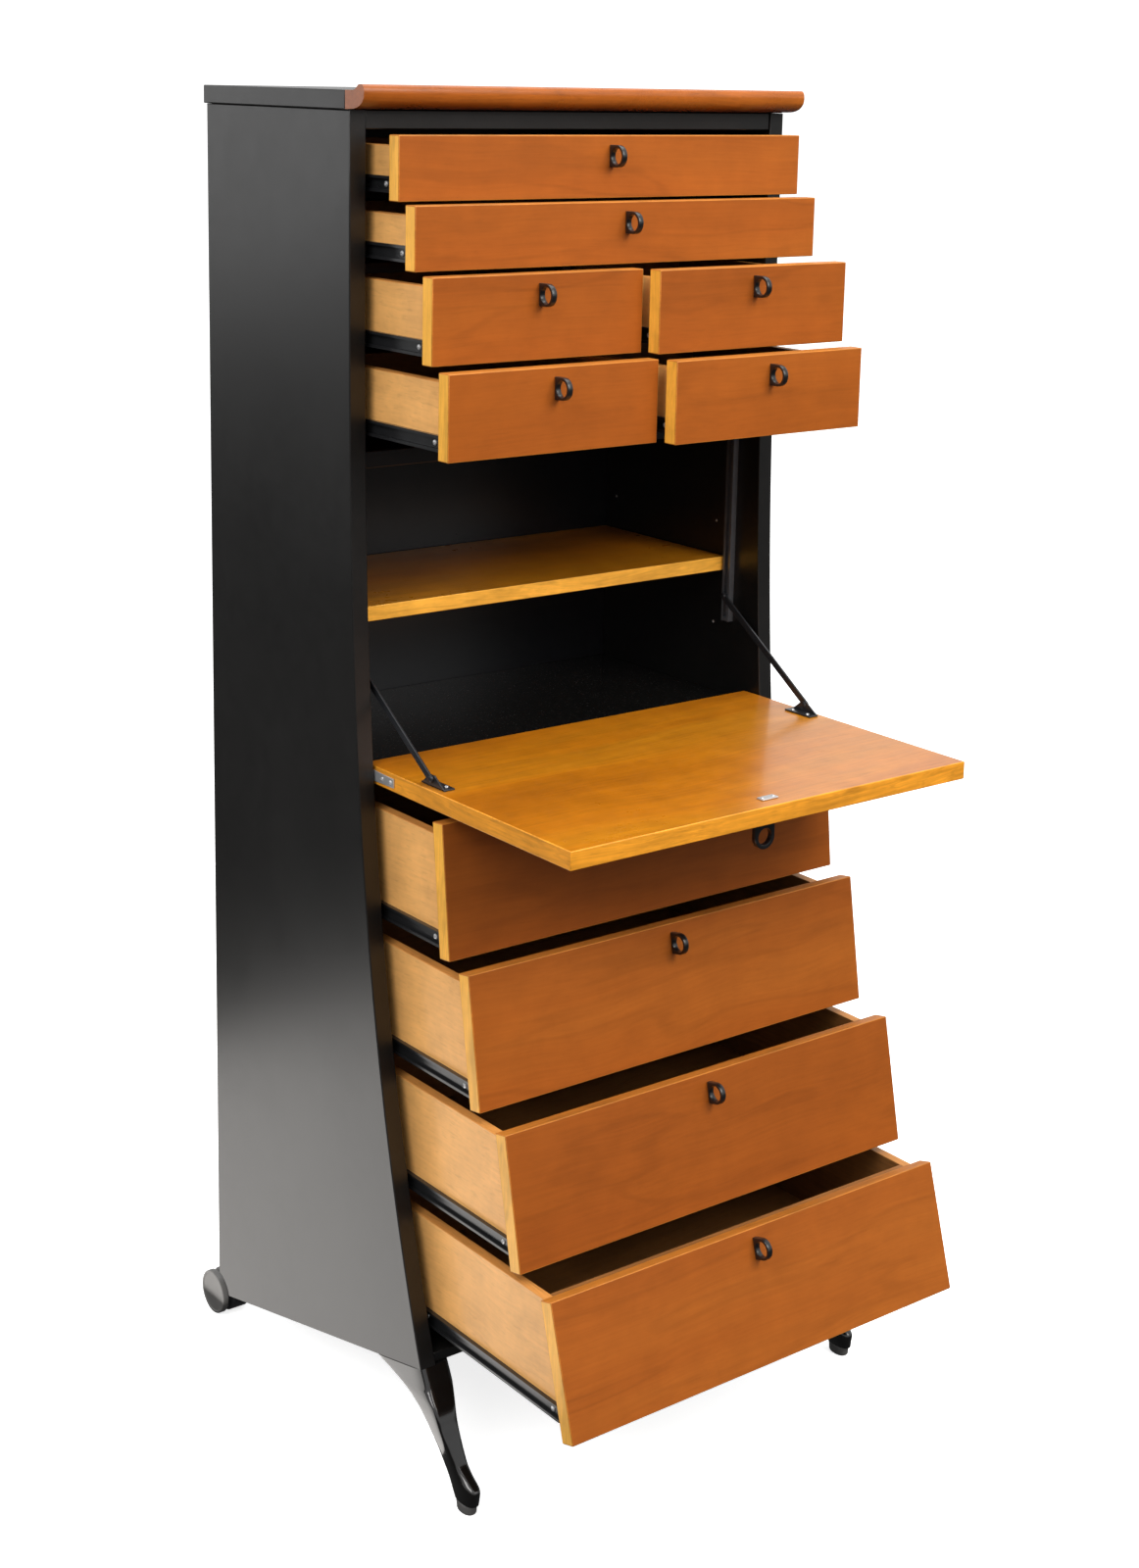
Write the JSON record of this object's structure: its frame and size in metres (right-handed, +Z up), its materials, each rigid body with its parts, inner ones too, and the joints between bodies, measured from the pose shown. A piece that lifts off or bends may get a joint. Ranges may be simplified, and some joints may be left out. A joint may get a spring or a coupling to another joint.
{
  "type": "tall flared chest with drawers and a drop flap",
  "caption": "Tall black flared chest with veneered drawers, a drop-down writing flap over a shelved compartment, front legs and rear rollers.",
  "frame": {"origin": "on the floor, under the middle of the box round the whole chest as it stands with its drawers and flap open", "axes": "+Z up, -Y towards the front, where the drawers open, +X to the right of someone facing the front"},
  "size_m": [0.606, 0.7334, 1.5149],
  "materials": {
    "satin_black": "black satin lacquer on board",
    "gloss_black": "black gloss lacquer on wood",
    "front_veneer": "satin lacquered orange-brown veneer with golden edging",
    "panel_veneer": "satin lacquered golden-brown veneer with golden edging",
    "moulding_wood": "gloss lacquered solid orange-brown wood",
    "drawer_wood": "clear satin lacquered pale wood",
    "black_metal": "black enamelled steel",
    "steel": "bright zinc plated",
    "grey_plastic": "dark grey moulded plastic"
  },
  "bodies": {
    "carcass": {"back_panel": "satin_black", "bottom_board": "satin_black", "centre_divider": "satin_black", "compartment_ceiling": "satin_black", "compartment_floor": "gloss_black", "divider_board": "satin_black", "foot_pad_left": "grey_plastic", "foot_pad_right": "grey_plastic", "front_leg_left": "gloss_black", "front_leg_right": "gloss_black", "rear_axle": "black_metal", "shelf": "panel_veneer", "side_panel_left": "satin_black", "side_panel_right": "satin_black", "stay_track_left": "black_metal", "stay_track_right": "black_metal", "top_board": "satin_black", "top_moulding": "moulding_wood", "top_rail": "satin_black"},
    "drawer_1": {"drawer_1_front": "front_veneer", "drawer_1_box": "drawer_wood", "drawer_1_handle": "black_metal"},
    "drawer_2": {"drawer_2_front": "front_veneer", "drawer_2_box": "drawer_wood", "drawer_2_handle": "black_metal"},
    "drawer_3_left": {"drawer_3_left_front": "front_veneer", "drawer_3_left_box": "drawer_wood", "drawer_3_left_handle": "black_metal"},
    "drawer_3_right": {"drawer_3_right_front": "front_veneer", "drawer_3_right_box": "drawer_wood", "drawer_3_right_handle": "black_metal"},
    "drawer_4_left": {"drawer_4_left_front": "front_veneer", "drawer_4_left_box": "drawer_wood", "drawer_4_left_handle": "black_metal"},
    "drawer_4_right": {"drawer_4_right_front": "front_veneer", "drawer_4_right_box": "drawer_wood", "drawer_4_right_handle": "black_metal"},
    "drawer_5": {"drawer_5_front": "front_veneer", "drawer_5_box": "drawer_wood", "drawer_5_handle": "black_metal"},
    "drawer_6": {"drawer_6_front": "front_veneer", "drawer_6_box": "drawer_wood", "drawer_6_handle": "black_metal"},
    "drawer_7": {"drawer_7_front": "front_veneer", "drawer_7_box": "drawer_wood", "drawer_7_handle": "black_metal"},
    "drawer_8": {"drawer_8_front": "front_veneer", "drawer_8_box": "drawer_wood", "drawer_8_handle": "black_metal"},
    "flap": {"flap": "panel_veneer", "flap_catch_plate": "steel", "flap_handle": "black_metal", "flap_hinge_plate_left": "steel", "flap_hinge_plate_right": "steel", "stay_bracket_left": "black_metal", "stay_bracket_right": "black_metal"},
    "stay_arm_left": {"stay_arm_left": "black_metal"},
    "stay_arm_right": {"stay_arm_right": "black_metal"},
    "roller_left": {"rear_roller_left": "grey_plastic"},
    "roller_right": {"rear_roller_right": "grey_plastic"}
  },
  "joints": [
    {"name": "drawer_1_slide", "type": "slide", "parent": "carcass", "child": "drawer_1", "axis": [0, -1, 0], "range_m": [-0.0548, 0.1552]},
    {"name": "drawer_2_slide", "type": "slide", "parent": "carcass", "child": "drawer_2", "axis": [0, -1, 0], "range_m": [-0.0851, 0.1249]},
    {"name": "drawer_3_left_slide", "type": "slide", "parent": "carcass", "child": "drawer_3_left", "axis": [0, -1, 0], "range_m": [-0.117, 0.093]},
    {"name": "drawer_3_right_slide", "type": "slide", "parent": "carcass", "child": "drawer_3_right", "axis": [0, -1, 0], "range_m": [-0.14, 0.07]},
    {"name": "drawer_4_left_slide", "type": "slide", "parent": "carcass", "child": "drawer_4_left", "axis": [0, -1, 0], "range_m": [-0.147, 0.063]},
    {"name": "drawer_4_right_slide", "type": "slide", "parent": "carcass", "child": "drawer_4_right", "axis": [0, -1, 0], "range_m": [-0.1715, 0.0385]},
    {"name": "drawer_5_slide", "type": "slide", "parent": "carcass", "child": "drawer_5", "axis": [0, -1, 0], "range_m": [-0.1216, 0.1134]},
    {"name": "drawer_6_slide", "type": "slide", "parent": "carcass", "child": "drawer_6", "axis": [0, -1, 0], "range_m": [-0.1538, 0.1012]},
    {"name": "drawer_7_slide", "type": "slide", "parent": "carcass", "child": "drawer_7", "axis": [0, -1, 0], "range_m": [-0.1968, 0.0782]},
    {"name": "drawer_8_slide", "type": "slide", "parent": "carcass", "child": "drawer_8", "axis": [0, -1, 0], "range_m": [-0.2448, 0.0522]},
    {"name": "flap_hinge", "type": "hinge", "parent": "carcass", "child": "flap", "pos_m": [0, 0.0077, 0.7823], "axis": [1, 0, 0], "range_deg": [-93.1, 0]},
    {"name": "stay_arm_left_pivot", "type": "hinge", "parent": "flap", "child": "stay_arm_left", "pos_m": [-0.2695, -0.0923, 0.8013], "axis": [1, 0, 0], "range_deg": [0, 140.3]},
    {"name": "stay_arm_right_pivot", "type": "hinge", "parent": "flap", "child": "stay_arm_right", "pos_m": [0.2695, -0.0923, 0.8013], "axis": [1, 0, 0], "range_deg": [0, 140.3]},
    {"name": "roller_left_spin", "type": "hinge", "parent": "carcass", "child": "roller_left", "pos_m": [-0.277, 0.3397, 0.027], "axis": [1, 0, 0], "continuous": true},
    {"name": "roller_right_spin", "type": "hinge", "parent": "carcass", "child": "roller_right", "pos_m": [0.277, 0.3397, 0.027], "axis": [1, 0, 0], "continuous": true}
  ],
  "couplings": [
    {"joint": "stay_arm_left_pivot", "follows": "flap_hinge", "ratio": -1.5054},
    {"joint": "stay_arm_right_pivot", "follows": "flap_hinge", "ratio": -1.5054}
  ]
}
